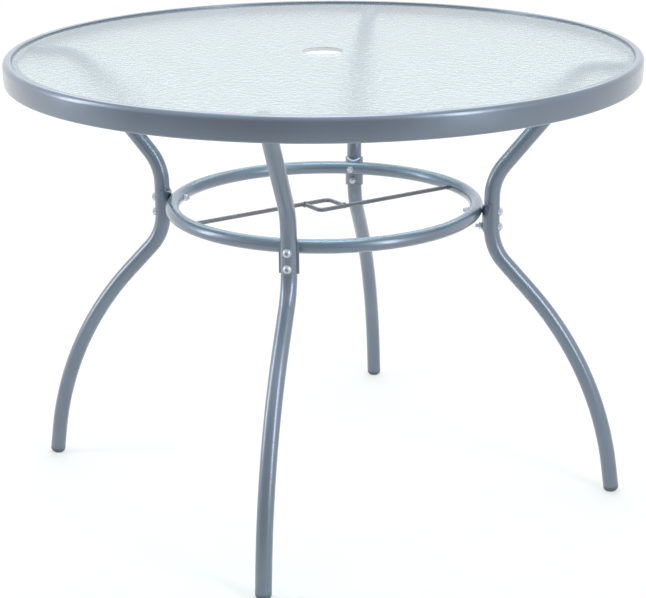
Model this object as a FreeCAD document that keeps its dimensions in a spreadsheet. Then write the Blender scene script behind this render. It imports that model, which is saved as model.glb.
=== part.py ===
import FreeCAD, Part
import math
import os
import re
import Sketcher

# Round glass table for an umbrella: a rolled steel rim with a glass top, four
# bent tube legs, a stretcher ring bolted to them and a square guide for the pole.
# Millimetres, +Z up. The origin is on the floor under the middle of the top, and
# the legs stand on +X, +Y, -X and -Y. Each leg is drawn on +X and then turned.

os.makedirs("parts", exist_ok=True)

# Driving dimensions: name, value, meaning
SIZES = (
    ("rim_radius", 500, "outer radius of the top"),
    ("rim_top", 720, "height of the rim above the floor"),
    ("rim_depth", 38, "height of the rim's outer wall"),
    ("rim_face", 13.5, "radial width of the rim's top face"),
    ("rim_sheet", 1.5, "thickness of the rolled rim"),
    ("rim_bend", 8, "radius of the rim's outer top edge"),
    ("rim_fold", 2, "radius of the rim's inner top edge"),
    ("rim_heel", 4, "radius of the rim's outer bottom edge"),
    ("rim_lip", 6.5, "radial width of the lip under the outer wall"),
    ("ledge_level", 710, "height of the ledge under the glass"),
    ("ledge_width", 10.5, "how far the ledge reaches in under the glass"),
    ("seal_sheet", 1.5, "thickness of the seal under the glass"),
    ("seal_wall", 1.2, "thickness of the seal beside the glass"),
    ("seal_width", 10, "width of the seal on the ledge"),
    ("seal_rise", 0.3, "how far the seal stands above the glass"),
    ("glass_sheet", 5, "thickness of the glass"),
    ("glass_edge", 1, "bevel ground along the edges of the glass"),
    ("hole_radius", 31.5, "radius of the umbrella hole"),
    ("tube_radius", 12.5, "outer radius of a leg tube"),
    ("tube_wall", 1.5, "wall of the leg and ring tubes"),
    ("arm_end", 493, "radius at which a leg ends inside the rim"),
    ("arm_level", 695, "height of the level top run of a leg"),
    ("shoulder_place", 411, "radius at which the top run would meet the arm"),
    ("shoulder_bend", 60, "bend radius between top run and arm"),
    ("waist_place", 272, "radius of the upright middle of a leg"),
    ("arm_foot", 520.2, "height at which the arm would meet the waist"),
    ("arm_bend", 85, "bend radius between arm and waist"),
    ("knee_level", 406.6, "height at which the waist would meet the thigh"),
    ("knee_bend", 84, "bend radius under the waist"),
    ("shin_place", 449.2, "radius at which thigh and shin would meet"),
    ("shin_level", 211.9, "height at which thigh and shin would meet"),
    ("shin_bend", 550, "radius of the long sweep of the lower leg"),
    ("tube_end_place", 477.2, "radius of the lower tube end"),
    ("tube_end_level", 8.4, "height of the lower tube end"),
    ("cap_radius", 12.5, "radius of a foot cap's collar"),
    ("cap_depth", 9.5, "depth of the cap below the tube before its wear face"),
    ("cap_round", 9, "radius round the bottom of the cap"),
    ("plug_radius", 10.95, "radius of the cap's plug inside the tube"),
    ("plug_length", 16, "length of the cap's plug"),
    ("plug_taper", 1.5, "taper at the tip of the plug"),
    ("ring_place", 245.5, "radius of the ring's centre line"),
    ("ring_level", 467, "height of the ring's centre line"),
    ("ring_tube", 11, "outer radius of the ring tube"),
    ("saddle_sheet", 3, "thickness of a leg saddle"),
    ("saddle_top", 481.5, "height of a saddle's top"),
    ("saddle_foot", 432, "height of a saddle's bottom"),
    ("saddle_cut_in", 7, "radial size of the saddle's cut corners"),
    ("saddle_cut_up", 6, "height of the saddle's cut corners"),
    ("low_bolt_level", 442, "height of the lower bolt at a saddle"),
    ("bolt_radius", 3, "radius of a bolt shank"),
    ("bolt_hole", 3.3, "radius of a bolt hole"),
    ("bolt_point", 0.6, "chamfer at the tip of a bolt"),
    ("long_bolt", 60, "length of an upper ring bolt"),
    ("short_bolt", 40, "length of a lower ring bolt"),
    ("rim_bolt", 16, "length of a bolt under the rim"),
    ("rim_bolt_place", 475, "radius at which the legs are bolted to the rim"),
    ("head_radius", 6.8, "radius of a bolt head's flange"),
    ("head_flange", 0.9, "thickness of a bolt head's flange"),
    ("head_dome", 5.4, "radius of a bolt head's dome"),
    ("head_height", 3.3, "height of a bolt head"),
    ("head_bevel", 1.6, "bevel round a bolt head's dome"),
    ("socket_flats", 5, "width of the hexagon socket"),
    ("socket_depth", 2.2, "depth of the hexagon socket"),
    ("washer_radius", 6.8, "radius of a saddle washer"),
    ("washer_bore", 3.2, "radius of a washer's bore"),
    ("washer_crown", 1.2, "thickness of a washer over the top of the tube"),
    ("nut_flats", 10, "width of a nut over its flats"),
    ("nut_height", 5, "height of a nut"),
    ("nut_bore", 3.1, "radius of a nut's bore"),
    ("nut_chamfer", 0.8, "depth of the chamfer round a nut at its widest"),
    ("nut_chamfer_start", 4.8, "radius at which a nut's chamfer begins"),
    ("nut_chamfer_end", 6.2, "radius just outside a nut's corners"),
    ("inner_nut_drop", 7.2, "depth of the captive nut's base below the stub's axis"),
    ("stub_radius", 10.8, "outer radius of the stub inside a leg's top end"),
    ("stub_wall", 2, "wall of the stub"),
    ("stub_start", 453, "radius at which the stub begins"),
    ("guide_rod", 3.5, "radius of a guide rod"),
    ("guide_level", 465, "height of the guide rods"),
    ("guide_side", 24, "distance of each rod from the middle of the guide"),
    ("guide_arm", 24, "distance of each short arm from the middle of the guide"),
    ("guide_bend", 9, "bend radius of a guide rod"),
    ("guide_reach", 233, "distance of a rod's welded end from the middle"),
    ("leg_step", 90, "angle from leg to leg"),
    ("beyond", 1, "how far a cut runs past what it cuts"),
    ("far_beyond", 30, "the same for a cut that clears a whole side"),
)
SIDES = ("right", "back", "left", "front")
VALUE = {name: float(value) for name, value, _ in SIZES}
ORIGIN = -1
LEVEL_AXIS, UPRIGHT_AXIS = -1, -2
START, END, CENTRE = 1, 2, 3
# A turn about +Z that FreeCAD keeps the axis of, before an expression sets its angle
FOUND_TURN = 1.0
# Half of the step from leg to leg, and the turn that points a screw's head down
HALF_STEP = 0.5
HEAD_DOWN = -90.0

doc = FreeCAD.newDocument("UmbrellaTable")
sheet = doc.addObject("Spreadsheet::Sheet", "Sizes")
for row, (name, value, note) in enumerate(SIZES, start=1):
    sheet.set(f"A{row}", name)
    sheet.set(f"B{row}", str(value))
    sheet.set(f"C{row}", note)
    sheet.setAlias(f"B{row}", name)
doc.recompute()


def reckon(text):
    """Value of a sum of cells and numbers, such as "rim_top - 2 * rim_sheet"."""
    total = 0.0
    for term in text.replace(" - ", " + -").split(" + "):
        product = 1.0
        for word in term.split(" * "):
            sign = -1.0 if word.startswith("-") else 1.0
            word = word.lstrip("-")
            product *= sign * (VALUE[word] if word in VALUE else float(word))
        total += product
    return total


def bound(text):
    """The same sum as an expression on the sheet."""
    return re.sub(r"[A-Za-z_]\w*", lambda found: "Sizes." + found.group(0), text)


def new_body(label, quarter="0"):
    """Body turned about the table's axis by a number of leg steps."""
    body = doc.addObject("PartDesign::Body", label)
    body.Label = label
    body.AllowCompound = True
    upright = FreeCAD.Rotation(FreeCAD.Vector(0, 0, 1), FOUND_TURN)
    body.Placement = FreeCAD.Placement(FreeCAD.Vector(), upright)
    body.setExpression("Placement.Rotation.Angle", f"{quarter} * Sizes.leg_step * 1 deg")
    return body


def origin_part(body, role):
    return next(part for part in body.Origin.OriginFeatures if part.Role == role)


def new_sketch(body, role, lift="0", across="0", up="0"):
    """Sketch on one of the body's planes, lifted off it or moved within it."""
    sketch = body.newObject("Sketcher::SketchObject", body.Label + "_sketch")
    sketch.AttachmentSupport = [(origin_part(body, role), "")]
    sketch.MapMode = "FlatFace"
    for axis, text in (("x", across), ("y", up), ("z", lift)):
        if text != "0":
            sketch.setExpression(f"AttachmentOffset.Base.{axis}", bound(text))
    return sketch


def pin(sketch, item, point, across, up):
    """Hold a point of the sketch at a place given by two sums of cells."""
    for kind, axis, text in (("DistanceX", UPRIGHT_AXIS, across), ("DistanceY", LEVEL_AXIS, up)):
        if text == "0":
            sketch.addConstraint(Sketcher.Constraint("PointOnObject", item, point, axis))
        else:
            rule = Sketcher.Constraint(kind, ORIGIN, START, item, point, reckon(text))
            number = sketch.addConstraint(rule)
            sketch.setExpression(f"Constraints[{number}]", bound(text))


def circle(sketch, across, up, radius):
    centre = FreeCAD.Vector(reckon(across), reckon(up), 0)
    item = sketch.addGeometry(Part.Circle(centre, FreeCAD.Vector(0, 0, 1), reckon(radius)), False)
    pin(sketch, item, CENTRE, across, up)
    number = sketch.addConstraint(Sketcher.Constraint("Radius", item, reckon(radius)))
    sketch.setExpression(f"Constraints[{number}]", bound(radius))


def corner_arc(before, here, after, radius):
    """Ends of the rounding of one corner, its arc, and whether it turns left."""
    back = (before - here).normalize()
    ahead = (after - here).normalize()
    half = back.getAngle(ahead) / 2
    entry = here + back * (radius / math.tan(half))
    leave = here + ahead * (radius / math.tan(half))
    centre = here + (back + ahead).normalize() * (radius / math.sin(half))
    left = back.cross(ahead).z < 0
    first, last = (entry, leave) if left else (leave, entry)
    angles = [math.atan2((end - centre).y, (end - centre).x) for end in (first, last)]
    whole = Part.Circle(centre, FreeCAD.Vector(0, 0, 1), radius)
    return entry, leave, Part.ArcOfCircle(whole, *angles), left


def draw(sketch, corners, closed=True):
    """Lines through corners (across, up) or, with a rounding, (across, up, radius)."""
    spots = [FreeCAD.Vector(reckon(corner[0]), reckon(corner[1]), 0) for corner in corners]
    count = len(corners)
    starts, ends, arcs = list(spots), list(spots), {}
    for place, corner in enumerate(corners):
        if len(corner) > 2:
            neighbours = spots[place - 1], spots[place], spots[(place + 1) % count]
            ends[place], starts[place], arc, left = corner_arc(*neighbours, reckon(corner[2]))
            arcs[place] = (sketch.addGeometry(arc, False), left)
    lines = []
    for place in range(count if closed else count - 1):
        line = Part.LineSegment(starts[place], ends[(place + 1) % count])
        lines.append(sketch.addGeometry(line, False))
    for place, corner in enumerate(corners):
        across, up = corner[:2]
        if not closed and place == count - 1:
            pin(sketch, lines[-1], END, across, up)
        elif not closed and place == 0:
            pin(sketch, lines[0], START, across, up)
        elif place in arcs:
            arc, left = arcs[place]
            first, last = (START, END) if left else (END, START)
            spot = sketch.addGeometry(Part.Point(spots[place]), True)
            rules = [
                Sketcher.Constraint("Tangent", lines[place - 1], END, arc, first),
                Sketcher.Constraint("Tangent", lines[place], START, arc, last),
                Sketcher.Constraint("PointOnObject", spot, START, lines[place - 1]),
                Sketcher.Constraint("PointOnObject", spot, START, lines[place]),
            ]
            sketch.addConstraint(rules)
            number = sketch.addConstraint(Sketcher.Constraint("Radius", arc, reckon(corner[2])))
            sketch.setExpression(f"Constraints[{number}]", bound(corner[2]))
            pin(sketch, spot, START, across, up)
        else:
            rule = Sketcher.Constraint("Coincident", lines[place - 1], END, lines[place], START)
            sketch.addConstraint(rule)
            pin(sketch, lines[place], START, across, up)


def rectangle(sketch, low_across, low_up, high_across, high_up):
    draw(sketch, [(low_across, low_up), (high_across, low_up), (high_across, high_up), (low_across, high_up)])


def hexagon(sketch, across, up, flats):
    """Hexagon as wide as flats from side to side, two corners on the level."""
    corner = 1 / math.sqrt(3)
    turns = ((1, 0), (0.5, 1), (-0.5, 1), (-1, 0), (-0.5, -1), (0.5, -1))
    corners = []
    for reach, side in turns:
        aside = f"{across} + {corner * reach:.6f} * {flats}"
        above = f"{up} + {0.5 * side} * {flats}"
        corners.append((aside, above if side or up != "0" else "0"))
    draw(sketch, corners)


def pad(body, sketch, length, backwards=False):
    feature = body.newObject("PartDesign::Pad", body.Label + "_pad")
    feature.Profile = sketch
    feature.Reversed = backwards
    feature.setExpression("Length", bound(length))
    return feature


def cut_through(body, sketch):
    """Cut along the sketch's normal, both ways and right through."""
    feature = body.newObject("PartDesign::Pocket", body.Label + "_cut")
    feature.Profile = sketch
    feature.Type = "ThroughAll"
    feature.SideType = "Symmetric"
    return feature


def cut_deep(body, sketch, depth, backwards=False):
    feature = body.newObject("PartDesign::Pocket", body.Label + "_cut")
    feature.Profile = sketch
    feature.Reversed = backwards
    feature.setExpression("Length", bound(depth))
    return feature


def revolve(body, sketch, axis):
    feature = body.newObject("PartDesign::Revolution", body.Label + "_turn")
    feature.Profile = sketch
    feature.ReferenceAxis = (sketch, [axis])
    return feature


def groove(body, sketch, axis):
    feature = body.newObject("PartDesign::Groove", body.Label + "_groove")
    feature.Profile = sketch
    feature.ReferenceAxis = (sketch, [axis])
    return feature


def pipe(body, profile, spine):
    feature = body.newObject("PartDesign::AdditivePipe", body.Label + "_pipe")
    feature.Profile = profile
    feature.Spine = (spine, [])
    return feature


def four_times(body):
    """Repeat the whole body at each leg."""
    doc.recompute()
    feature = body.newObject("PartDesign::PolarPattern", body.Label + "_pattern")
    feature.TransformMode = "Whole shape"
    feature.Axis = (origin_part(body, "Z_Axis"), [""])
    feature.Mode = "Spacing"
    feature.Occurrences = len(SIDES)
    feature.setExpression("Offset", bound("leg_step"))
    body.Tip = feature
    return feature


def glass_top():
    body = new_body("glass_top")
    low = "ledge_level + seal_sheet"
    high = low + " + glass_sheet"
    rim_side = "rim_radius - rim_face - seal_wall"
    profile = new_sketch(body, "XZ_Plane")
    draw(profile, [
        ("hole_radius + glass_edge", low),
        (rim_side + " - glass_edge", low),
        (rim_side, low + " + glass_edge"),
        (rim_side, high + " - glass_edge"),
        (rim_side + " - glass_edge", high),
        ("hole_radius + glass_edge", high),
        ("hole_radius", high + " - glass_edge"),
        ("hole_radius", low + " + glass_edge"),
    ])
    revolve(body, profile, "V_Axis")
    return body


def rim_frame():
    """Rolled sheet: outer wall with a lip, top face, inner wall and glass ledge."""
    body = new_body("rim_frame")
    inner = "rim_radius - rim_face"
    foot = "rim_top - rim_depth"
    profile = new_sketch(body, "XZ_Plane")
    draw(profile, [
        ("rim_radius", foot, "rim_heel"),
        ("rim_radius", "rim_top", "rim_bend"),
        (inner, "rim_top", "rim_fold"),
        (inner, "ledge_level"),
        (inner + " - ledge_width", "ledge_level"),
        (inner + " - ledge_width", "ledge_level - rim_sheet"),
        (inner + " + rim_sheet", "ledge_level - rim_sheet"),
        (inner + " + rim_sheet", "rim_top - rim_sheet"),
        ("rim_radius - rim_sheet", "rim_top - rim_sheet", "rim_bend - rim_sheet"),
        ("rim_radius - rim_sheet", foot + " + rim_sheet", "rim_heel - rim_sheet"),
        ("rim_radius - rim_lip", foot + " + rim_sheet"),
        ("rim_radius - rim_lip", foot),
    ])
    revolve(body, profile, "V_Axis")
    return body


def glass_seal():
    """Dark strip under the edge of the glass and up beside it."""
    body = new_body("glass_seal")
    outer = "rim_radius - rim_face"
    glass_foot = "ledge_level + seal_sheet"
    lip = glass_foot + " + glass_sheet + seal_rise"
    profile = new_sketch(body, "XZ_Plane")
    draw(profile, [
        (outer, "ledge_level"),
        (outer, lip),
        (outer + " - seal_wall", lip),
        (outer + " - seal_wall", glass_foot),
        (outer + " - seal_width", glass_foot),
        (outer + " - seal_width", "ledge_level"),
    ])
    revolve(body, profile, "V_Axis")
    return body


def leg(side, turn):
    """One tube: level top run, arm, upright waist, thigh and long curved shin."""
    body = new_body("leg_" + side, turn)
    spine = new_sketch(body, "XZ_Plane")
    draw(spine, [
        ("arm_end", "arm_level"),
        ("shoulder_place", "arm_level", "shoulder_bend"),
        ("waist_place", "arm_foot", "arm_bend"),
        ("waist_place", "knee_level", "knee_bend"),
        ("shin_place", "shin_level", "shin_bend"),
        ("tube_end_place", "tube_end_level"),
    ], closed=False)
    profile = new_sketch(body, "YZ_Plane", lift="arm_end")
    circle(profile, "0", "arm_level", "tube_radius")
    circle(profile, "0", "arm_level", "tube_radius - tube_wall")
    pipe(body, profile, spine)
    holes = new_sketch(body, "YZ_Plane")
    circle(holes, "0", "ring_level", "bolt_hole")
    circle(holes, "0", "low_bolt_level", "bolt_hole")
    cut_through(body, holes)
    rim_hole = new_sketch(body, "XY_Plane", lift="arm_level")
    circle(rim_hole, "rim_bolt_place", "0", "bolt_hole")
    cut_deep(body, rim_hole, "tube_radius + tube_wall")
    return body


def foot_cap(side, turn):
    """Plug and rounded collar in line with the tube, with a flat on the floor."""
    body = new_body("foot_cap_" + side, turn)
    profile = new_sketch(body, "XZ_Plane", across="tube_end_place", up="tube_end_level")
    lean(profile, FOUND_TURN)
    profile.setExpression("AttachmentOffset.Rotation.Angle",
                          "atan((Sizes.tube_end_place - Sizes.shin_place)"
                          " / (Sizes.shin_level - Sizes.tube_end_level))")
    draw(profile, [
        ("0", "plug_length"),
        ("plug_radius - plug_taper", "plug_length"),
        ("plug_radius", "plug_length - plug_taper"),
        ("plug_radius", "0"),
        ("cap_radius", "0"),
        ("cap_radius", "-1 * cap_depth", "cap_round"),
        ("0", "-1 * cap_depth"),
    ])
    revolve(body, profile, "V_Axis")
    ground = new_sketch(body, "XZ_Plane")
    far = "tube_end_place + far_beyond"
    near = "tube_end_place - far_beyond"
    rectangle(ground, near, "-1 * far_beyond", far, "0")
    cut_through(body, ground)
    return body


def stretcher_ring():
    body = new_body("stretcher_ring")
    profile = new_sketch(body, "XZ_Plane")
    circle(profile, "ring_place", "ring_level", "ring_tube")
    circle(profile, "ring_place", "ring_level", "ring_tube - tube_wall")
    revolve(body, profile, "V_Axis")
    for role in ("XZ_Plane", "YZ_Plane"):
        holes = new_sketch(body, role)
        circle(holes, "0", "ring_level", "bolt_hole")
        cut_through(body, holes)
    return body


def leg_saddle(side, turn):
    """Half round plate between ring and leg, its ends cut back on the ring side."""
    body = new_body("leg_saddle_" + side, turn)
    outer = "tube_radius + saddle_sheet"
    section = new_sketch(body, "XY_Plane", lift="saddle_foot")
    circle(section, "waist_place", "0", outer)
    circle(section, "waist_place", "0", "tube_radius")
    pad(body, section, "saddle_top - saddle_foot")
    half = new_sketch(body, "XY_Plane")
    rectangle(half, "waist_place", "-1 * far_beyond", "waist_place + far_beyond", "far_beyond")
    cut_through(body, half)
    face = "waist_place - tube_radius - saddle_sheet"
    corners = new_sketch(body, "XZ_Plane")
    clear = face + " - beyond"
    draw(corners, [
        (clear, "saddle_top + beyond"),
        (clear, "saddle_top - saddle_cut_up"),
        (face, "saddle_top - saddle_cut_up"),
        (face + " + saddle_cut_in", "saddle_top"),
        (face + " + saddle_cut_in", "saddle_top + beyond"),
    ])
    draw(corners, [
        (clear, "saddle_foot - beyond"),
        (face + " + saddle_cut_in", "saddle_foot - beyond"),
        (face + " + saddle_cut_in", "saddle_foot"),
        (face, "saddle_foot + saddle_cut_up"),
        (clear, "saddle_foot + saddle_cut_up"),
    ])
    cut_through(body, corners)
    holes = new_sketch(body, "YZ_Plane")
    circle(holes, "0", "ring_level", "bolt_hole")
    circle(holes, "0", "low_bolt_level", "bolt_hole")
    cut_through(body, holes)
    return body


def rim_stub(side, turn):
    """Short tube on the inside of the rim's wall, over which a leg's end slips."""
    body = new_body("rim_stub_" + side, turn)
    profile = new_sketch(body, "YZ_Plane", lift="stub_start")
    circle(profile, "0", "arm_level", "stub_radius")
    circle(profile, "0", "arm_level", "stub_radius - stub_wall")
    pad(body, profile, "rim_radius - stub_start")
    wall = "rim_radius - rim_sheet"
    far = "rim_radius + far_beyond"
    lip = "rim_top - rim_depth + rim_sheet"
    outside = new_sketch(body, "XZ_Plane")
    draw(outside, [
        (wall, "rim_top"),
        (wall, lip, "rim_heel - rim_sheet"),
        ("stub_start", lip),
        ("stub_start", lip + " - far_beyond"),
        (far, lip + " - far_beyond"),
        (far, "rim_top"),
    ])
    groove(body, outside, "V_Axis")
    rim_hole = new_sketch(body, "XY_Plane", lift="arm_level")
    circle(rim_hole, "rim_bolt_place", "0", "bolt_hole")
    cut_deep(body, rim_hole, "tube_radius + tube_wall")
    return body


def guide_rod(label, turn):
    """Rod from the ring past the pole, its bent end welded to the other rod."""
    body = new_body(label, turn)
    spine = new_sketch(body, "XY_Plane", lift="guide_level")
    draw(spine, [
        ("-1 * guide_reach", "guide_side"),
        ("guide_arm", "guide_side", "guide_bend"),
        ("guide_arm", "guide_rod - guide_side"),
    ], closed=False)
    profile = new_sketch(body, "YZ_Plane", lift="-1 * guide_reach")
    circle(profile, "guide_side", "guide_level", "guide_rod")
    pipe(body, profile, spine)
    return body


def lean(sketch, turn):
    """Turn a sketch within its plane."""
    offset = sketch.AttachmentOffset
    offset.Rotation = FreeCAD.Rotation(FreeCAD.Vector(0, 0, 1), turn)
    sketch.AttachmentOffset = offset


def screw_shape(body, length, across, up, turn=0.0):
    """Round head on a shank, its axis across the tube at the given place."""
    profile = new_sketch(body, "XZ_Plane", across=across, up=up)
    lean(profile, turn)
    seat = "tube_radius + washer_crown"
    tip = f"{seat} - {length}"
    draw(profile, [
        (tip, "0"),
        (tip, "bolt_radius - bolt_point"),
        (tip + " + bolt_point", "bolt_radius"),
        (seat, "bolt_radius"),
        (seat, "head_radius"),
        (seat + " + head_flange", "head_radius"),
        (seat + " + head_flange", "head_dome"),
        (seat + " + head_height - head_bevel", "head_dome"),
        (seat + " + head_height", "head_dome - head_bevel"),
        (seat + " + head_height", "0"),
    ])
    return revolve(body, profile, "H_Axis")


def ring_bolts(label, length, level):
    """Bolts at one height, each with a hexagon socket in its head."""
    body = new_body(label)
    screw_shape(body, length, "waist_place", level)
    head = "waist_place + tube_radius + washer_crown + head_height"
    socket = new_sketch(body, "YZ_Plane", lift=head)
    hexagon(socket, "0", level, "socket_flats")
    cut_deep(body, socket, "socket_depth")
    four_times(body)
    return body


def rim_bolts():
    body = new_body("rim_bolts")
    screw_shape(body, "rim_bolt", "rim_bolt_place", "arm_level", HEAD_DOWN)
    head = "arm_level - tube_radius - washer_crown - head_height"
    socket = new_sketch(body, "XY_Plane", lift=head)
    hexagon(socket, "rim_bolt_place", "0", "socket_flats")
    cut_deep(body, socket, "socket_depth", backwards=True)
    four_times(body)
    return body


def saddle_washers():
    """Washers with a flat face for the bolt head and a hollow that fits the tube."""
    body = new_body("saddle_washers")
    thick = "tube_radius + washer_crown"
    blanks = new_sketch(body, "YZ_Plane", lift="waist_place")
    for level in ("ring_level", "low_bolt_level"):
        circle(blanks, "0", level, "washer_radius")
        circle(blanks, "0", level, "washer_bore")
    pad(body, blanks, thick)
    rim_blank = new_sketch(body, "XY_Plane", lift="arm_level")
    circle(rim_blank, "rim_bolt_place", "0", "washer_radius")
    circle(rim_blank, "rim_bolt_place", "0", "washer_bore")
    pad(body, rim_blank, thick, backwards=True)
    waist = new_sketch(body, "XY_Plane")
    circle(waist, "waist_place", "0", "tube_radius")
    cut_through(body, waist)
    arm = new_sketch(body, "YZ_Plane")
    circle(arm, "0", "arm_level", "tube_radius")
    cut_through(body, arm)
    four_times(body)
    return body


def hex_nuts():
    """Nuts inside the ring, inside the saddles and inside the stubs."""
    body = new_body("hex_nuts")
    saddle_face = "waist_place - tube_radius - saddle_sheet"
    inner_base = "arm_level - inner_nut_drop"
    lying = (("ring_place - ring_tube", "ring_level"), (saddle_face, "low_bolt_level"))
    for face, level in lying:
        outline = new_sketch(body, "YZ_Plane", lift=face)
        hexagon(outline, "0", level, "nut_flats")
        circle(outline, "0", level, "nut_bore")
        pad(body, outline, "nut_height", backwards=True)
        rim = new_sketch(body, "XZ_Plane", up=level)
        back = face + " - nut_height"
        draw(rim, [(face, "nut_chamfer_start"), (face, "nut_chamfer_end"),
                   (face + " - nut_chamfer", "nut_chamfer_end")])
        draw(rim, [(back, "nut_chamfer_start"), (back + " + nut_chamfer", "nut_chamfer_end"),
                   (back, "nut_chamfer_end")])
        groove(body, rim, "H_Axis")
    outline = new_sketch(body, "XY_Plane", lift=inner_base)
    hexagon(outline, "rim_bolt_place", "0", "nut_flats")
    circle(outline, "rim_bolt_place", "0", "nut_bore")
    pad(body, outline, "nut_height")
    four_times(body)
    return body


pieces = [glass_top(), rim_frame(), glass_seal(), stretcher_ring()]
for quarter, side in enumerate(SIDES):
    pieces += [leg(side, quarter), foot_cap(side, quarter), leg_saddle(side, quarter), rim_stub(side, quarter)]
for rod, quarter in (("guide_rod_left", HALF_STEP), ("guide_rod_right", HALF_STEP + len(SIDES) / 2)):
    pieces.append(guide_rod(rod, quarter))
pieces += [
    ring_bolts("ring_bolts_long", "long_bolt", "ring_level"),
    ring_bolts("ring_bolts_short", "short_bolt", "low_bolt_level"),
    rim_bolts(),
    saddle_washers(),
    hex_nuts(),
]
doc.recompute()

for item in doc.Objects:
    if "Invalid" in item.State or "Error" in item.State:
        raise RuntimeError(f"{item.Label} failed: {item.State}")
for piece in pieces:
    if piece.Shape.isNull() or not piece.Shape.isValid():
        raise RuntimeError(f"{piece.Label} has no valid shape")
for piece in pieces:
    piece.Shape.exportStep(f"parts/{piece.Label}.step")
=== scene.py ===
import math

import bmesh
import bpy
from mathutils import Matrix, Vector


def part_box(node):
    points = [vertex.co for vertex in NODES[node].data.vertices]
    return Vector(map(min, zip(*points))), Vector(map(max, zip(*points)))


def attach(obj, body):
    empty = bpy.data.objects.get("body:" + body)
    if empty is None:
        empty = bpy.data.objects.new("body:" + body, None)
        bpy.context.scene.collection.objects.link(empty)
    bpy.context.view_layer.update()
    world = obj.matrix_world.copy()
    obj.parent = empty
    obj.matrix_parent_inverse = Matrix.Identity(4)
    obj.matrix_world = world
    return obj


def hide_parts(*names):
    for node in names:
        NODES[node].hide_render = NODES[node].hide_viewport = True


# Round glass garden table with an umbrella hole, on four bowed tube legs.
# Metres, +Z up, the origin on the floor under the middle of the top, the front leg on -Y.

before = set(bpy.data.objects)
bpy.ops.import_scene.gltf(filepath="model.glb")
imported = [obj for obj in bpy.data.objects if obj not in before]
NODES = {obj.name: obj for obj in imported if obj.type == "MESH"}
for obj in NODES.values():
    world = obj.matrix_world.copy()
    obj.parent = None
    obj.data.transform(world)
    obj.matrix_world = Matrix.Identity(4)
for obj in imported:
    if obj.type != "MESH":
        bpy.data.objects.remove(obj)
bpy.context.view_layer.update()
SIDES = ("right", "back", "left", "front")

# Camera, matched to the photograph
IMAGE_WIDTH = 646
SENSOR = 0.036
MM_PER_METRE = 1000
FOCAL_PIXELS = 1828.8
CAMERA_AZIMUTH = math.radians(11.29)
CAMERA_DISTANCE = 2.865
CAMERA_HEIGHT = 1.2355
CAMERA_PITCH = 0.3141
CAMERA_ROLL = -0.0086
VIEW_AXIS_PIXEL = 325.18

# Colours, as the share of light that a surface sends back or the glass lets through
COAT_BLUE_GREY = (0.178, 0.224, 0.282)
ROD_GREY = (0.155, 0.155, 0.175)
ZINC = (0.66, 0.71, 0.76)
# Painted shade in the bolts' hex sockets, standing in for the shadow in these recesses
SOCKET_SHADE = (0.42, 0.47, 0.55)
CAP_GREY = (0.130, 0.158, 0.192)
SEAL_GREY = (0.30, 0.33, 0.36)
GLASS_TINT = (0.765, 0.888, 0.892)
GROUND_GLASS = (0.86, 0.91, 0.93)
FLOOR_GREY = (0.50, 0.50, 0.50)

# Darkest and lightest shade of each colour, as a share of it
COAT_SHADES = (0.95, 1.05)
ZINC_SHADES = (0.92, 1.06)
PLASTIC_SHADES = (0.85, 1.15)
GLASS_SHADES = (0.98, 1.02)
GROUND_SHADES = (0.95, 1.05)

# Band of the noise that takes a colour from its darkest to its lightest shade
COAT_BAND = (0.35, 0.65)
ZINC_BAND = (0.3, 0.7)
WHOLE = (0.0, 1.0)

# Roughness of each surface, from its smoothest spots to its roughest
COAT_ROUGHNESS = (0.30, 0.40)
ZINC_ROUGHNESS = (0.30, 0.42)
CAP_ROUGHNESS = (0.38, 0.48)
SEAL_ROUGHNESS = (0.45, 0.60)
GLASS_ROUGHNESS = (0.10, 0.16)
GROUND_ROUGHNESS = (0.5, 0.7)

# Metal in the coat and the plate, the coat's clear skin, and the glass
COAT_METAL = 0.85
ZINC_METAL = 0.9
SKIN_WEIGHT = 1.0
SKIN_ROUGHNESS = 0.18
GLASS_CLEAR = 1.0
GLASS_IOR = 1.5

# Noise of each surface: spots per metre, and how many finer layers lie on them
COAT_MOTTLE = (9.0, 4.0)
COAT_SPOTS = (75.0, 3.0)
COAT_ROLLING = (14.0, 1.0)
COAT_PEEL = (420.0, 1.0)
COAT_GRAIN = (2600.0, 1.0)
ZINC_CLOUDS = (300.0, 4.0)
ZINC_SPOTS = (500.0, 3.0)
ZINC_GRAIN = (900.0, 2.0)
PLASTIC_CLOUDS = (120.0, 4.0)
PLASTIC_SPOTS = (240.0, 3.0)
PLASTIC_GRAIN = (1500.0, 2.0)
GLASS_CLOUDS = (30.0, 2.0)
GLASS_SPOTS = (200.0, 3.0)
GLASS_PEBBLES = (150.0, 1.0)
GROUND_CLOUDS = (400.0, 3.0)
GROUND_SPOTS = (900.0, 3.0)
GROUND_GRAIN = (2500.0, 2.0)

# Depth of the relief that each noise stands for
ROLLING_DEPTH = 0.0005
PEEL_DEPTH = 0.00006
COAT_GRAIN_DEPTH = 0.000012
ZINC_GRAIN_DEPTH = 0.000012
PLASTIC_GRAIN_DEPTH = 0.00004
PEBBLE_DEPTH = 0.0003
GROUND_GRAIN_DEPTH = 0.00002

# Rim, as in its CAD solid but for the tuck at the foot of its wall
RIM_RADIUS = 0.500
RIM_TOP = 0.720
RIM_FOOT = 0.682
RIM_FACE = 0.0135
RIM_SHEET = 0.0015
RIM_BEND = 0.008
RIM_FOLD = 0.002
RIM_HEEL = 0.004
RIM_LIP = 0.0065
RIM_TUCK = 0.0012
TUCK_HEIGHT = 0.012
TUCK_BEND = 0.120
LEDGE_LEVEL = 0.710
LEDGE_WIDTH = 0.0105
RIM_STEPS = 480
BEND_STEPS = 8

# Glass, read from its CAD solid but for the hole and the bevels of the edges
GLASS_LOW, GLASS_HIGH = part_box("glass_top")
GLASS_RADIUS = GLASS_HIGH.x
GLASS_MIDDLE = (GLASS_LOW.z + GLASS_HIGH.z) / 2
HOLE_RADIUS = 0.0315
GLASS_EDGE = 0.0004

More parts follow.
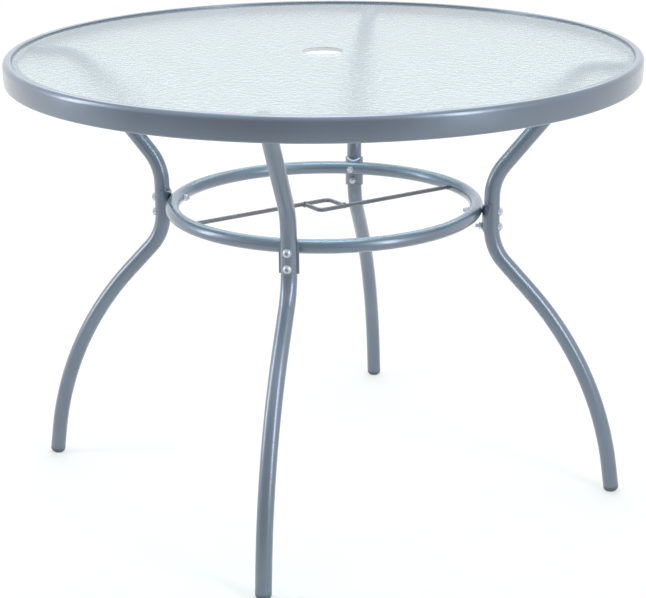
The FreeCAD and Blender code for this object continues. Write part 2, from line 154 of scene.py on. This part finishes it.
# Ripple of the glass: waves of a few lengths in many directions, on a grid of points
RIPPLE_DEPTH = 0.00007
RIPPLE_GRID = 0.0039
WAVES = 26
WAVE_LENGTHS = (0.013, 0.023)
GOLDEN_ANGLE = math.pi * (3 - math.sqrt(5))

# Wander of those waves: metres of each swing, radians per metre, and radians of sway and start
LONG_WANDER = 0.004
LONG_TURNS_X = 61
LONG_TURNS_Y = 37
LONG_SWAY = 2
SHORT_WANDER = 0.003
SHORT_TURNS_Y = 83
SHORT_START = 1.7

# Bolts, as in their CAD solids, with a thread between two shares of the shank's radius
RING_LEVEL = 0.467
LOW_BOLT_LEVEL = 0.442
SHANK_RADIUS = 0.003
THREAD_SHARES = (0.85, 1.04)
THREAD_PITCH = 0.001
THREAD_DEPTH = 0.00025
# Radius of the painted shade in each hex socket, and the distance from the table's axis beyond
# which it lies
SOCKET_RADIUS = 0.0026
SOCKET_PLACE = 0.280

# Guide rods, as in their CAD solids, and the quarter turns that bring each to its place
ROD_RADIUS = 0.0035
GUIDE_LEVEL = 0.465
GUIDE_SIDE = 0.024
GUIDE_REACH = 0.233
ROD_QUARTERS = {"left": 0.5, "right": 2.5}

# Weld beads at the rods' ends, each with some swells and smaller knots round it
BEAD_RADIUS = 0.0014
BEAD_GAP = 0.0004
SWELLS = 3
SWELL_SIZE = 0.22
KNOTS = 7
KNOT_SIZE = 0.14
BEAD_STEPS_AROUND = 28
BEAD_STEPS_ACROSS = 10

# Edges sharper than this angle are shown sharp
SHARP_EDGE = math.radians(35)
NEVER_SHARP = math.radians(180)

# Floor: half its width, its glow near the table and far off, and the distances of the two
FLOOR_REACH = 30.0
FLOOR_GLOW = (0.47, 0.62)
GLOW_REACH = (1.2, 4.5)

# Share of that glow in reflections, and where along Y it fades in
FLOOR_SHEEN = 0.90
FLOOR_FADE = (-6.0, 1.0)

# World: light and mirror image, each at the back and on the photographer's low side
WORLD_LIGHT = (0.70, 0.60)
WORLD_MIRRORED = (1.0, 0.66)

# That side fades in by the cosine of the bearing from -Y, and out by the sine of the height
FRONT_FADE = (0.25, 0.85)
FRONT_TOP = (0.45, 0.75)

# Colour of the world's light and of its mirror image
PURE_WHITE = (1.0, 1.0, 1.0)
COOL_WHITE = (0.95, 0.985, 1.035)

# Lamps: place, size, power in watts and the point that each one faces
WAIST = (0, 0, 0.45)
TOP_FRONT = (0, -0.4, 0.7)
LAMPS = {
    "top_box": ((0.0, 0.2, 3.2), (1.3, 1.0), 18, WAIST),
    "right_box": ((2.4, -1.6, 1.5), (0.5, 2.2), 22, WAIST),
    "left_box": ((-2.8, -0.6, 1.4), (0.6, 2.0), 18, WAIST),
    "back_box": ((-0.6, 3.2, 3.6), (4.6, 2.2), 56, TOP_FRONT),
}


def new_object(name, data):
    """New object in the scene."""
    thing = bpy.data.objects.new(name, data)
    bpy.context.scene.collection.objects.link(thing)
    return thing


def empty_tree(holder, output_kind):
    """Node tree of a material or world with nothing but its output."""
    holder.use_nodes = True
    tree = holder.node_tree
    tree.nodes.clear()
    return tree, tree.nodes.new(output_kind)


def new_material(name):
    """Empty node material with a Principled shader on its output."""
    material = bpy.data.materials.new(name)
    tree, output = empty_tree(material, "ShaderNodeOutputMaterial")
    shader = tree.nodes.new("ShaderNodeBsdfPrincipled")
    tree.links.new(shader.outputs["BSDF"], output.inputs["Surface"])
    return material, tree, shader, output


def place(tree):
    """Coordinates in metres in the table's own frame."""
    return tree.nodes.new("ShaderNodeTexCoord").outputs["Object"]


def axes(tree, vector):
    """X, Y and Z of a vector."""
    parts = tree.nodes.new("ShaderNodeSeparateXYZ")
    tree.links.new(vector, parts.inputs["Vector"])
    return [parts.outputs[axis] for axis in "XYZ"]


def noise(tree, spots, layers):
    """Noise with so many spots per metre, and finer layers on them."""
    node = tree.nodes.new("ShaderNodeTexNoise")
    node.inputs["Scale"].default_value = spots
    node.inputs["Detail"].default_value = layers
    tree.links.new(place(tree), node.inputs["Vector"])
    return node.outputs["Fac"]


def spread(tree, value, target, source=WHOLE, interpolation="LINEAR"):
    """A value carried over from one range to another."""
    node = tree.nodes.new("ShaderNodeMapRange")
    node.interpolation_type = interpolation
    sockets = ("From Min", "From Max", "To Min", "To Max")
    for socket, limit in zip(sockets, (*source, *target)):
        node.inputs[socket].default_value = limit
    tree.links.new(value, node.inputs["Value"])
    return node.outputs["Result"]


def eased(tree, value, source):
    """Soft step from 0 at the lower limit to 1 at the upper one."""
    return spread(tree, value, WHOLE, source, "SMOOTHSTEP")


def mixed(tree, factor, first, second):
    """The first colour where the factor is 0, the second where it is 1."""
    mix = tree.nodes.new("ShaderNodeMix")
    mix.data_type = "RGBA"
    tree.links.new(factor, mix.inputs["Factor"])
    for socket, colour in (("A", first), ("B", second)):
        if isinstance(colour, tuple):
            mix.inputs[socket].default_value = (*colour, 1)
        else:
            tree.links.new(colour, mix.inputs[socket])
    return mix.outputs["Result"]


def shaded(tree, colour, value, shades):
    """The colour made darker and lighter by a noise value."""
    dark, light = [tuple(channel * shade for channel in colour) for shade in shades]
    return mixed(tree, value, dark, light)


def bump(tree, height, depth, under=None):
    """Relief of a height value, on top of another relief where one is given."""
    node = tree.nodes.new("ShaderNodeBump")
    node.inputs["Strength"].default_value = 1.0
    node.inputs["Distance"].default_value = depth
    tree.links.new(height, node.inputs["Height"])
    if under is not None:
        tree.links.new(under, node.inputs["Normal"])
    return node.outputs["Normal"]


def reckoned(tree, operation, first, second=0.0):
    """Sum, product and so on of values and numbers."""
    node = tree.nodes.new("ShaderNodeMath")
    node.operation = operation
    for socket, value in zip(node.inputs, (first, second)):
        if isinstance(value, (int, float)):
            socket.default_value = value
        else:
            tree.links.new(value, socket)
    return node.outputs["Value"]


def between(tree, value, low, high):
    """1 where a value lies between two numbers, 0 elsewhere."""
    above = reckoned(tree, "GREATER_THAN", value, low)
    return reckoned(tree, "MULTIPLY", above, reckoned(tree, "LESS_THAN", value, high))


def away(tree, first, second):
    """Distance from the origin, from two of its coordinates."""
    squares = [reckoned(tree, "MULTIPLY", part, part) for part in (first, second)]
    return reckoned(tree, "SQRT", reckoned(tree, "ADD", *squares))


def shown(tree, *kinds):
    """1 for rays of the named kinds, 0 for all others."""
    path = tree.nodes.new("ShaderNodeLightPath")
    total = 0.0
    for kind in kinds:
        total = reckoned(tree, "MAXIMUM", path.outputs["Is " + kind + " Ray"], total)
    return total


def coat_material(name, colour):
    """Satin metallic powder coat: faint mottling, orange peel and a fine dry grain."""
    material, tree, shader, _ = new_material(name)
    mottle = spread(tree, noise(tree, *COAT_MOTTLE), WHOLE, COAT_BAND)
    roughness = spread(tree, noise(tree, *COAT_SPOTS), COAT_ROUGHNESS)
    rolling = bump(tree, noise(tree, *COAT_ROLLING), ROLLING_DEPTH)
    peel = bump(tree, noise(tree, *COAT_PEEL), PEEL_DEPTH, under=rolling)
    grain = bump(tree, noise(tree, *COAT_GRAIN), COAT_GRAIN_DEPTH, under=peel)
    tree.links.new(shaded(tree, colour, mottle, COAT_SHADES), shader.inputs["Base Color"])
    tree.links.new(roughness, shader.inputs["Roughness"])
    tree.links.new(grain, shader.inputs["Normal"])
    shader.inputs["Metallic"].default_value = COAT_METAL
    shader.inputs["Coat Weight"].default_value = SKIN_WEIGHT
    shader.inputs["Coat Roughness"].default_value = SKIN_ROUGHNESS
    return material


def bolt_detail(tree, level, colour, relief):
    """Threads on the shanks of the bolts at a level, and painted shade in the hex sockets of
    their heads.
    """
    x, y, z = axes(tree, place(tree))
    across = reckoned(tree, "ABSOLUTE", x)
    along = reckoned(tree, "ABSOLUTE", y)
    aside = reckoned(tree, "MINIMUM", across, along)
    reach = reckoned(tree, "MAXIMUM", across, along)
    around = away(tree, aside, reckoned(tree, "SUBTRACT", z, level))
    shank = between(tree, around, *[SHANK_RADIUS * share for share in THREAD_SHARES])
    wave = reckoned(tree, "SINE", reckoned(tree, "MULTIPLY", reach, math.tau / THREAD_PITCH))
    thread = bump(tree, reckoned(tree, "MULTIPLY", wave, shank), THREAD_DEPTH, under=relief)
    # Painted shade in the hex sockets, where their recess lies in shadow
    inside = reckoned(tree, "LESS_THAN", around, SOCKET_RADIUS)
    in_head = reckoned(tree, "GREATER_THAN", reach, SOCKET_PLACE)
    socket_shade_mask = reckoned(tree, "MULTIPLY", inside, in_head)
    return mixed(tree, socket_shade_mask, colour, SOCKET_SHADE), thread


def zinc_material(name, level=None):
    """Zinc plate, with the bolts' threads and painted socket shade where their level is given."""
    material, tree, shader, _ = new_material(name)
    clouds = spread(tree, noise(tree, *ZINC_CLOUDS), WHOLE, ZINC_BAND)
    colour = shaded(tree, ZINC, clouds, ZINC_SHADES)
    relief = bump(tree, noise(tree, *ZINC_GRAIN), ZINC_GRAIN_DEPTH)
    if level is not None:
        colour, relief = bolt_detail(tree, level, colour, relief)
    roughness = spread(tree, noise(tree, *ZINC_SPOTS), ZINC_ROUGHNESS)
    tree.links.new(colour, shader.inputs["Base Color"])
    tree.links.new(roughness, shader.inputs["Roughness"])
    tree.links.new(relief, shader.inputs["Normal"])
    shader.inputs["Metallic"].default_value = ZINC_METAL
    return material


def plastic_material(name, colour, roughness_range):
    """Moulded plastic or rubber with a fine matt grain."""
    material, tree, shader, _ = new_material(name)
    clouds = noise(tree, *PLASTIC_CLOUDS)
    roughness = spread(tree, noise(tree, *PLASTIC_SPOTS), roughness_range)
    grain = bump(tree, noise(tree, *PLASTIC_GRAIN), PLASTIC_GRAIN_DEPTH)
    tree.links.new(shaded(tree, colour, clouds, PLASTIC_SHADES), shader.inputs["Base Color"])
    tree.links.new(roughness, shader.inputs["Roughness"])
    tree.links.new(grain, shader.inputs["Normal"])
    return material


def let_light_through(tree, shader, output):
    """Plain tinted glass for the lamps' light, the full shader for all else."""
    clear = tree.nodes.new("ShaderNodeBsdfTransparent")
    clear.inputs["Color"].default_value = (*GLASS_TINT, 1)
    path = tree.nodes.new("ShaderNodeLightPath")
    choice = tree.nodes.new("ShaderNodeMixShader")
    factor, usual, shadow = choice.inputs
    tree.links.new(path.outputs["Is Shadow Ray"], factor)
    tree.links.new(shader.outputs["BSDF"], usual)
    tree.links.new(clear.outputs["BSDF"], shadow)
    tree.links.new(choice.outputs["Shader"], output.inputs["Surface"])


def glass_material():
    """Glass with a faint green tint, pebbled on its lower face."""
    material, tree, shader, output = new_material("ripple_glass")
    clouds = noise(tree, *GLASS_CLOUDS)
    roughness = spread(tree, noise(tree, *GLASS_SPOTS), GLASS_ROUGHNESS)
    _, _, z = axes(tree, place(tree))
    below = reckoned(tree, "LESS_THAN", z, GLASS_MIDDLE)
    pebbles = reckoned(tree, "MULTIPLY", below, noise(tree, *GLASS_PEBBLES))
    relief = bump(tree, pebbles, PEBBLE_DEPTH)
    tree.links.new(shaded(tree, GLASS_TINT, clouds, GLASS_SHADES), shader.inputs["Base Color"])
    tree.links.new(roughness, shader.inputs["Roughness"])
    tree.links.new(relief, shader.inputs["Normal"])
    shader.inputs["Transmission Weight"].default_value = GLASS_CLEAR
    shader.inputs["IOR"].default_value = GLASS_IOR
    let_light_through(tree, shader, output)
    return material


def ground_material():
    """Walls of the glass's outer edge and hole, ground matt."""
    material, tree, shader, _ = new_material("ground_glass")
    clouds = noise(tree, *GROUND_CLOUDS)
    roughness = spread(tree, noise(tree, *GROUND_SPOTS), GROUND_ROUGHNESS)
    grain = bump(tree, noise(tree, *GROUND_GRAIN), GROUND_GRAIN_DEPTH)
    tree.links.new(shaded(tree, GROUND_GLASS, clouds, GROUND_SHADES), shader.inputs["Base Color"])
    tree.links.new(roughness, shader.inputs["Roughness"])
    tree.links.new(grain, shader.inputs["Normal"])
    return material


def dress(node, material):
    """Give a CAD node its material, in its own slots."""
    mesh = NODES[node].data
    for slot in range(len(mesh.materials)):
        mesh.materials[slot] = material


coat = coat_material("powder_coat", COAT_BLUE_GREY)
rod_coat = coat_material("powder_coat_rods", ROD_GREY)
zinc = zinc_material("zinc_plate")
cap_plastic = plastic_material("cap_plastic", CAP_GREY, CAP_ROUGHNESS)
seal_rubber = plastic_material("seal_rubber", SEAL_GREY, SEAL_ROUGHNESS)
glass = glass_material()
ground_glass = ground_material()

dress("stretcher_ring", coat)
for side in SIDES:
    for kind in ("leg_", "leg_saddle_", "rim_stub_"):
        dress(kind + side, coat)
    dress("foot_cap_" + side, cap_plastic)
for node in ("guide_rod_left", "guide_rod_right"):
    dress(node, rod_coat)
for node in ("rim_bolts", "saddle_washers", "hex_nuts"):
    dress(node, zinc)
dress("ring_bolts_long", zinc_material("zinc_upper_bolts", RING_LEVEL))
dress("ring_bolts_short", zinc_material("zinc_lower_bolts", LOW_BOLT_LEVEL))
dress("glass_seal", seal_rubber)


def closed_loops(loops, steps):
    """Quads between loops of points, each joined to the next and the last to the first."""
    faces = []
    for loop in range(loops):
        after = (loop + 1) % loops
        for step in range(steps):
            beside = (step + 1) % steps
            faces.append((loop * steps + step, after * steps + step,
                          after * steps + beside, loop * steps + beside))
    return faces


def add_piece(name, points, faces, materials, sharp_edge=SHARP_EDGE):
    """New object on the table's body, smooth but for its sharp edges."""
    mesh = bpy.data.meshes.new(name)
    mesh.from_pydata(points, [], faces)
    for material in materials:
        mesh.materials.append(material)
    model = bmesh.new()
    model.from_mesh(mesh)
    bmesh.ops.recalc_face_normals(model, faces=model.faces)
    model.to_mesh(mesh)
    model.free()
    for face in mesh.polygons:
        face.use_smooth = True
    mesh.set_sharp_from_angle(angle=sharp_edge)
    piece = new_object(name, mesh)
    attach(piece, "root")
    return piece


def rounded(corners):
    """Closed outline through corners (across, up, radius), its roundings in steps."""
    outline = []
    for number, (across, up, radius) in enumerate(corners):
        here = Vector((across, up))
        if not radius:
            outline.append(here)
            continue
        after = corners[(number + 1) % len(corners)]
        back = (Vector(corners[number - 1][:2]) - here).normalized()
        ahead = (Vector(after[:2]) - here).normalized()
        half = back.angle(ahead) / 2
        centre = here + (back + ahead).normalized() * (radius / math.sin(half))
        first = here + back * (radius / math.tan(half)) - centre
        last = here + ahead * (radius / math.tan(half)) - centre
        for step in range(BEND_STEPS + 1):
            spoke = first.lerp(last, step / BEND_STEPS).normalized()
            outline.append(centre + spoke * radius)
    return outline


def rim_outline():
    """Section of the rim: up its wall, over its face, round the ledge and back inside."""
    inner = RIM_RADIUS - RIM_FACE
    return rounded([
        (RIM_RADIUS - RIM_TUCK, RIM_FOOT, RIM_HEEL),
        (RIM_RADIUS, RIM_FOOT + TUCK_HEIGHT, TUCK_BEND),
        (RIM_RADIUS, RIM_TOP, RIM_BEND),
        (inner, RIM_TOP, RIM_FOLD),
        (inner, LEDGE_LEVEL, 0),
        (inner - LEDGE_WIDTH, LEDGE_LEVEL, 0),
        (inner - LEDGE_WIDTH, LEDGE_LEVEL - RIM_SHEET, 0),
        (inner + RIM_SHEET, LEDGE_LEVEL - RIM_SHEET, 0),
        (inner + RIM_SHEET, RIM_TOP - RIM_SHEET, 0),
        (RIM_RADIUS - RIM_SHEET, RIM_TOP - RIM_SHEET, RIM_BEND - RIM_SHEET),
        (RIM_RADIUS - RIM_SHEET, RIM_FOOT + RIM_SHEET, RIM_HEEL - RIM_SHEET),
        (RIM_RADIUS - RIM_LIP, RIM_FOOT + RIM_SHEET, 0),
        (RIM_RADIUS - RIM_LIP, RIM_FOOT, 0),
    ])


def make_rim():
    """Rolled rim with its inner ledge, its section turned about the table's axis."""
    outline = rim_outline()
    points = []
    for spot in outline:
        for step in range(RIM_STEPS):
            turn = math.tau * step / RIM_STEPS
            points.append((spot.x * math.cos(turn), spot.x * math.sin(turn), spot.y))
    faces = closed_loops(len(outline), RIM_STEPS)
    piece = add_piece("rim", points, faces, [coat])
    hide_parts("rim_frame")


def ripple(x, y):
    """Height of the pressed pattern at a place, from 0 to 1."""
    sway = LONG_SWAY * math.sin(y * LONG_TURNS_Y)
    bend = LONG_WANDER * math.sin(x * LONG_TURNS_X + sway)
    bend += SHORT_WANDER * math.sin(y * SHORT_TURNS_Y + SHORT_START)
    shortest, longest = WAVE_LENGTHS
    total = 0.0
    for wave in range(WAVES):
        turn = wave * GOLDEN_ANGLE
        share = wave / (WAVES - 1)
        length = shortest + (longest - shortest) * share
        along = x * math.cos(turn) + y * math.sin(turn) + bend
        total += math.sin(math.tau * along / length + wave * wave)
    return (1 + math.tanh(total / math.sqrt(WAVES))) / 2


def glass_loops(steps_out):
    """Loops (radius, level, rippled) round the pane's section, and which start its two walls."""
    low, high = GLASS_LOW.z, GLASS_HIGH.z
    inner, outer = HOLE_RADIUS + GLASS_EDGE, GLASS_RADIUS - GLASS_EDGE
    loops = []
    for step in range(steps_out + 1):
        radius = inner + (outer - inner) * step / steps_out
        loops.append((radius, low, step not in (0, steps_out)))
    edge_wall = len(loops)
    loops += [(GLASS_RADIUS, low + GLASS_EDGE, False), (GLASS_RADIUS, high - GLASS_EDGE, False)]
    loops += [(outer, high, False), (inner, high, False)]
    hole_wall = len(loops)
    loops += [(HOLE_RADIUS, high - GLASS_EDGE, False), (HOLE_RADIUS, low + GLASS_EDGE, False)]
    return loops, (edge_wall, hole_wall)


def make_glass():
    """Pane, flat above and rippled below, with ground walls at its edge and in its hole."""
    steps_out = math.ceil((GLASS_RADIUS - HOLE_RADIUS) / RIPPLE_GRID)
    steps_round = math.ceil(math.tau * GLASS_RADIUS / RIPPLE_GRID)
    loops, walls = glass_loops(steps_out)
    points = []
    for radius, level, rippled in loops:
        for step in range(steps_round):
            turn = math.tau * step / steps_round
            x, y = radius * math.cos(turn), radius * math.sin(turn)
            rise = RIPPLE_DEPTH * ripple(x, y) if rippled else 0.0
            points.append((x, y, level + rise))
    faces = closed_loops(len(loops), steps_round)
    pane = add_piece("glass_pane", points, faces, [glass, ground_glass])
    ground = pane.data.materials.find(ground_glass.name)
    for number, face in enumerate(pane.data.polygons):
        if number // steps_round in walls:
            face.material_index = ground
    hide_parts("glass_top")


def weld(name, spot, ahead, seed):
    """Uneven bead round the end of a guide rod."""
    aim = ahead.to_track_quat("Z", "Y")
    points = []
    for step in range(BEAD_STEPS_AROUND):
        turn = math.tau * step / BEAD_STEPS_AROUND
        swell = SWELL_SIZE * math.sin(SWELLS * turn + seed)
        knot = KNOT_SIZE * math.sin(KNOTS * turn + 2 * seed)
        bead = BEAD_RADIUS * (1 + swell + knot)
        for side in range(BEAD_STEPS_ACROSS):
            lift = math.tau * side / BEAD_STEPS_ACROSS
            reach = ROD_RADIUS + BEAD_GAP + bead * math.cos(lift)
            local = (reach * math.cos(turn), reach * math.sin(turn), bead * math.sin(lift))
            points.append(spot + aim @ Vector(local))
    faces = closed_loops(BEAD_STEPS_AROUND, BEAD_STEPS_ACROSS)
    add_piece(name, points, faces, [coat], NEVER_SHARP)


def make_welds():
    """Beads where each guide rod meets the ring and where it meets the other rod."""
    at_ring = Vector((-GUIDE_REACH, GUIDE_SIDE, GUIDE_LEVEL))
    at_rod = Vector((GUIDE_SIDE, ROD_RADIUS - GUIDE_SIDE, GUIDE_LEVEL))
    along_x, along_y = Vector((1, 0, 0)), Vector((0, 1, 0))
    for rod, quarters in ROD_QUARTERS.items():
        turn = Matrix.Rotation(quarters * math.pi / 2, 3, "Z")
        weld("weld_ring_" + rod, turn @ at_ring, turn @ along_x, quarters)
        weld("weld_guide_" + rod, turn @ at_rod, turn @ along_y, quarters + 1)


def floor_material():
    """Grey paper that also glows in the picture, in reflections and through glass."""
    material = bpy.data.materials.new("studio_floor")
    tree, output = empty_tree(material, "ShaderNodeOutputMaterial")
    paper = tree.nodes.new("ShaderNodeBsdfDiffuse")
    paper.inputs["Color"].default_value = (*FLOOR_GREY, 1)
    glow = tree.nodes.new("ShaderNodeEmission")
    both = tree.nodes.new("ShaderNodeAddShader")
    x, y, _ = axes(tree, place(tree))
    level = spread(tree, eased(tree, away(tree, x, y), GLOW_REACH), FLOOR_GLOW)
    sheen = reckoned(tree, "MULTIPLY", eased(tree, y, FLOOR_FADE), FLOOR_SHEEN)
    mirrored = reckoned(tree, "MULTIPLY", shown(tree, "Glossy"), sheen)
    total = reckoned(tree, "MAXIMUM", shown(tree, "Camera", "Transmission"), mirrored)
    tree.links.new(reckoned(tree, "MULTIPLY", total, level), glow.inputs["Strength"])
    first, second = both.inputs
    tree.links.new(paper.outputs["BSDF"], first)
    tree.links.new(glow.outputs["Emission"], second)
    tree.links.new(both.outputs["Shader"], output.inputs["Surface"])
    return material


def make_floor():
    """Square sheet of the floor's paper under the table."""
    reach = FLOOR_REACH
    corners = [(-reach, -reach, 0), (reach, -reach, 0), (reach, reach, 0), (-reach, reach, 0)]
    mesh = bpy.data.meshes.new("floor")
    mesh.from_pydata(corners, [], [(0, 1, 2, 3)])
    floor = new_object("floor", mesh)
    mesh.materials.append(floor_material())


def world_strength(tree, glossy):
    """Strength of the world's light, and of its mirror image for glossy rays."""
    direction = tree.nodes.new("ShaderNodeTexCoord").outputs["Generated"]
    x, y, z = axes(tree, direction)
    forward = reckoned(tree, "DIVIDE", reckoned(tree, "MULTIPLY", y, -1.0), away(tree, x, y))
    low = reckoned(tree, "SUBTRACT", 1.0, eased(tree, z, FRONT_TOP))
    front = reckoned(tree, "MULTIPLY", eased(tree, forward, FRONT_FADE), low)
    mirrored = reckoned(tree, "MULTIPLY", glossy, spread(tree, front, WORLD_MIRRORED))
    others = reckoned(tree, "SUBTRACT", 1.0, glossy)
    lit = reckoned(tree, "MULTIPLY", others, spread(tree, front, WORLD_LIGHT))
    return reckoned(tree, "ADD", mirrored, lit)


def make_world():
    """White surround, dimmer on the photographer's side for light and reflections."""
    world = bpy.data.worlds.new("studio")
    bpy.context.scene.world = world
    tree, output = empty_tree(world, "ShaderNodeOutputWorld")
    sky = tree.nodes.new("ShaderNodeBackground")
    glossy = shown(tree, "Glossy")
    strength = world_strength(tree, glossy)
    total = reckoned(tree, "MAXIMUM", strength, shown(tree, "Camera", "Transmission"))
    tree.links.new(mixed(tree, glossy, PURE_WHITE, COOL_WHITE), sky.inputs["Color"])
    tree.links.new(total, sky.inputs["Strength"])
    tree.links.new(sky.outputs["Background"], output.inputs["Surface"])


def softbox(name, spot, size, power, aim):
    """Rectangular lamp at a spot, turned to its aim."""
    lamp = bpy.data.lights.new(name, "AREA")
    lamp.shape = "RECTANGLE"
    lamp.size, lamp.size_y = size
    lamp.energy = power
    holder = new_object(name, lamp)
    holder.location = spot
    toward = Vector(aim) - Vector(spot)
    holder.rotation_euler = toward.to_track_quat("-Z", "Y").to_euler()


def make_camera():
    """Camera at the photographer's place, looking slightly down."""
    data = bpy.data.cameras.new("camera")
    data.sensor_width = SENSOR * MM_PER_METRE
    data.lens = SENSOR * MM_PER_METRE * FOCAL_PIXELS / IMAGE_WIDTH
    data.shift_x = (IMAGE_WIDTH / 2 - VIEW_AXIS_PIXEL) / IMAGE_WIDTH
    camera = new_object("camera", data)
    back = Vector((math.sin(CAMERA_AZIMUTH), -math.cos(CAMERA_AZIMUTH), 0))
    camera.location = back * CAMERA_DISTANCE + Vector((0, 0, CAMERA_HEIGHT))
    look = -back * math.cos(CAMERA_PITCH) - Vector((0, 0, math.sin(CAMERA_PITCH)))
    level = look.to_track_quat("-Z", "Y").to_matrix().to_4x4()
    camera.rotation_euler = (level @ Matrix.Rotation(CAMERA_ROLL, 4, "Z")).to_euler()
    bpy.context.scene.camera = camera


make_rim()
make_glass()
make_welds()
make_floor()
make_world()
for name, lamp in LAMPS.items():
    softbox(name, *lamp)
make_camera()

bpy.context.scene.view_settings.view_transform = "Standard"
